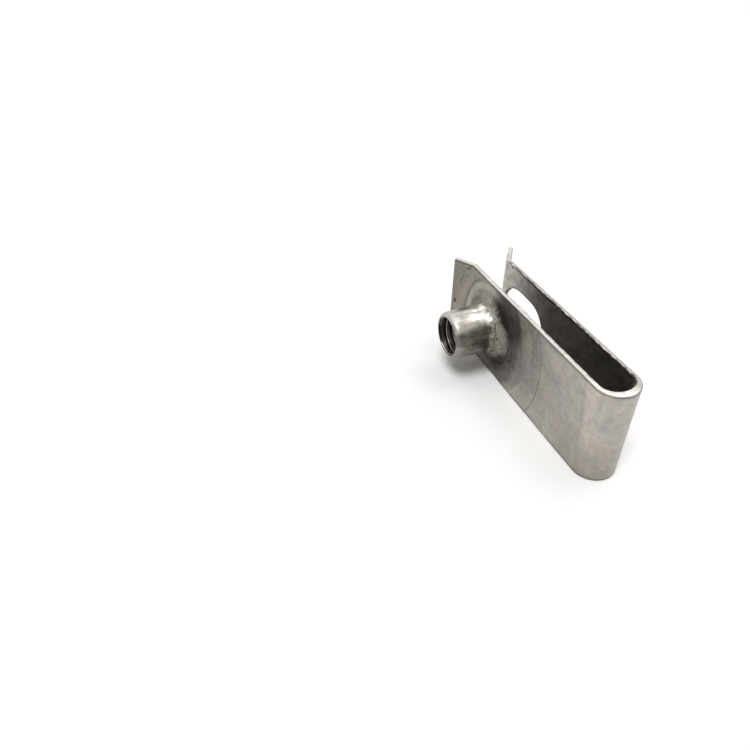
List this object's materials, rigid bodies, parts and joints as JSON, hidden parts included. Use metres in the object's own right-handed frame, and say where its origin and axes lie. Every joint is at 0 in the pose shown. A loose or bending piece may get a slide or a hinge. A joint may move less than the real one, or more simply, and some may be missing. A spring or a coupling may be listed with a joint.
{
  "type": "u clip speed nut",
  "caption": "Steel strip folded into a U with flared ends: one leg has a clearance slot, the other a drawn and threaded nut barrel standing out of it.",
  "frame": {"origin": "on the thread's axis, where the funnel ends and the threaded wall starts, half way across the strip", "axes": "+X from the fold to the open end, +Y along the thread towards the barrel's nose, +Z across the strip; the clip stands on one long edge of the strip"},
  "size_m": [0.0434, 0.0183, 0.017],
  "materials": {
    "u_clip_nut": "satin mill finish with a polished barrel, bright sheared edges and faint draw marks"
  },
  "bodies": {
    "root": {"u_clip_nut": "u_clip_nut"}
  },
  "joints": []
}
